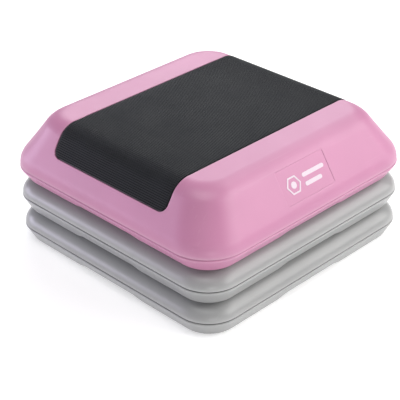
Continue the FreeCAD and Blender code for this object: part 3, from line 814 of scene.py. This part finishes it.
def printed_ink(name, colour):
    """Pad-printed ink: nearly even, slightly broken where it is thin."""
    material, nodes, links, shader = new_material(name)
    speckle = noise(nodes, links, 900.0, detail=4.0)
    low = tuple(channel * 0.92 for channel in colour)
    tint = ramp(nodes, links, speckle.outputs["Fac"], [(0.3, low), (0.55, colour)])
    links.new(tint.outputs["Color"], shader.inputs["Base Color"])
    gloss = ramp(nodes, links, speckle.outputs["Fac"], [(0.3, 0.42), (0.7, 0.52)])
    links.new(gloss.outputs["Color"], shader.inputs["Roughness"])
    stacked_bump(nodes, links, shader, [(speckle.outputs["Fac"], 0.08, 0.0002)])
    return material


def set_material(item, material):
    item.data.materials.clear()
    item.data.materials.append(material)


# ---- stage ----

CAMERA_AZIMUTH, CAMERA_ELEVATION, CAMERA_ROLL = -44.1, 30.65, -1.22
CAMERA_DISTANCE = 1.890
CAMERA_LENS = 113.1
CAMERA_SIDE = -0.01336          # aim point, to the camera's right of the axis
CAMERA_AIM_LEVEL = 0.05306
FLOOR_HALF = 12000.0
FLOOR_GLOW = 0.42               # the floor is partly self-lit, to come out white
WORLD_STRENGTH = 0.27
LIGHT_AIM_LEVEL = 0.1
# Name, azimuth, elevation, distance, width, height (metres), power (watts), colour.
LIGHTS = (
    ("key_right", 39, 32, 2.6, 2.7, 1.8, 56.0, (1.0, 0.985, 0.975)),
    ("overhead", -70, 72, 2.6, 1.7, 1.4, 24.0, (1.0, 1.0, 1.0)),
    ("back_right", 94, 52, 2.6, 1.3, 1.1, 13.0, (1.0, 1.0, 1.0)),
    ("side_left", -146, 10, 2.5, 2.0, 0.8, 26.0, (0.84, 0.79, 1.0)),
    ("backdrop", 136, 28, 2.6, 1.9, 1.1, 22.0, (0.95, 0.97, 1.0)),
    ("catchlight", -38, 9, 2.2, 0.42, 0.18, 4.5, (1.0, 1.0, 1.0)))


def direction(azimuth, elevation):
    """Unit vector from the object; azimuth 0 is -Y, and 90 is +X."""
    azimuth, elevation = math.radians(azimuth), math.radians(elevation)
    across = math.cos(elevation)
    return Vector((math.sin(azimuth) * across, -math.cos(azimuth) * across, math.sin(elevation)))


def make_camera():
    """Camera at the reference view: it looks at a point beside the axis, slightly rolled."""
    back = direction(CAMERA_AZIMUTH, CAMERA_ELEVATION)
    right = Vector((0, 0, 1)).cross(back).normalized()
    camera = bpy.data.objects.new("camera", bpy.data.cameras.new("camera"))
    bpy.context.scene.collection.objects.link(camera)
    camera.data.lens = CAMERA_LENS
    camera.data.sensor_width = 36.0
    camera.location = Vector((0, 0, CAMERA_AIM_LEVEL)) + right * CAMERA_SIDE + back * CAMERA_DISTANCE
    turn = (-back).to_track_quat("-Z", "Y")
    camera.rotation_mode = "QUATERNION"
    roll = Matrix.Rotation(math.radians(CAMERA_ROLL), 3, "Z").to_quaternion()
    camera.rotation_quaternion = turn @ roll
    bpy.context.scene.camera = camera


def area_light(name, azimuth, elevation, distance, width, height, power, colour):
    """Soft box at a direction from the object, facing it."""
    data = bpy.data.lights.new(name, "AREA")
    data.shape = "RECTANGLE"
    data.size, data.size_y = width, height
    data.energy = power
    data.color = colour
    lamp = bpy.data.objects.new(name, data)
    bpy.context.scene.collection.objects.link(lamp)
    back = direction(azimuth, elevation)
    lamp.location = Vector((0, 0, LIGHT_AIM_LEVEL)) + back * distance
    lamp.rotation_mode = "QUATERNION"
    lamp.rotation_quaternion = (-back).to_track_quat("-Z", "Y")


def make_stage():
    """Plain white floor and soft studio light."""
    corners = np.array([(-1, -1, 0), (1, -1, 0), (1, 1, 0), (-1, 1, 0)]) * FLOOR_HALF
    floor = new_object("floor", corners, [(0, 1, 2, 3)])
    material, nodes, links, shader = new_material("floor_paper")
    grain = noise(nodes, links, 300.0)
    tint = ramp(nodes, links, grain.outputs["Fac"], [(0.3, 0.77), (0.7, 0.80)])
    links.new(tint.outputs["Color"], shader.inputs["Base Color"])
    shader.inputs["Emission Color"].default_value = (1.0, 1.0, 1.0, 1.0)
    shader.inputs["Emission Strength"].default_value = FLOOR_GLOW
    shader.inputs["Roughness"].default_value = 0.9
    shader.inputs["Specular IOR Level"].default_value = 0.1
    set_material(floor, material)
    world = bpy.data.worlds.new("studio")
    world.use_nodes = True
    background = world.node_tree.nodes["Background"]
    background.inputs["Color"].default_value = (1.0, 1.0, 1.0, 1.0)
    background.inputs["Strength"].default_value = WORLD_STRENGTH
    bpy.context.scene.world = world
    for light in LIGHTS:
        area_light(*light)


def main():
    lower, upper = make_risers()
    platform = make_platform()
    tread = make_tread()
    pink = moulded_plastic("pink_moulding", PINK, roughness=0.40, specular=0.6)
    grey = moulded_plastic("grey_moulding", GREY, roughness=0.31, specular=0.65)
    set_material(lower, grey)
    set_material(upper, grey)
    set_material(platform, pink)
    tread_rubber = rubber("tread_rubber", BLACK_RUBBER, roughness=0.5, scale=700.0, specular=0.175)
    set_material(tread, tread_rubber)
    foot_rubber = rubber("foot_rubber", FOOT_RUBBER, roughness=0.7, scale=500.0)
    plug_plastic = moulded_plastic("plug_plastic", PLUG_PLASTIC, roughness=0.45)
    ink = printed_ink("badge_ink", INK)
    for name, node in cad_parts.items():
        if "_foot_" in name:
            set_material(node, foot_rubber)
        elif name.endswith("_plug"):
            set_material(node, plug_plastic)
        elif name == "badge_print":
            set_material(node, ink)
    make_stage()
    make_camera()
    bpy.context.scene.view_settings.view_transform = "Standard"


main()
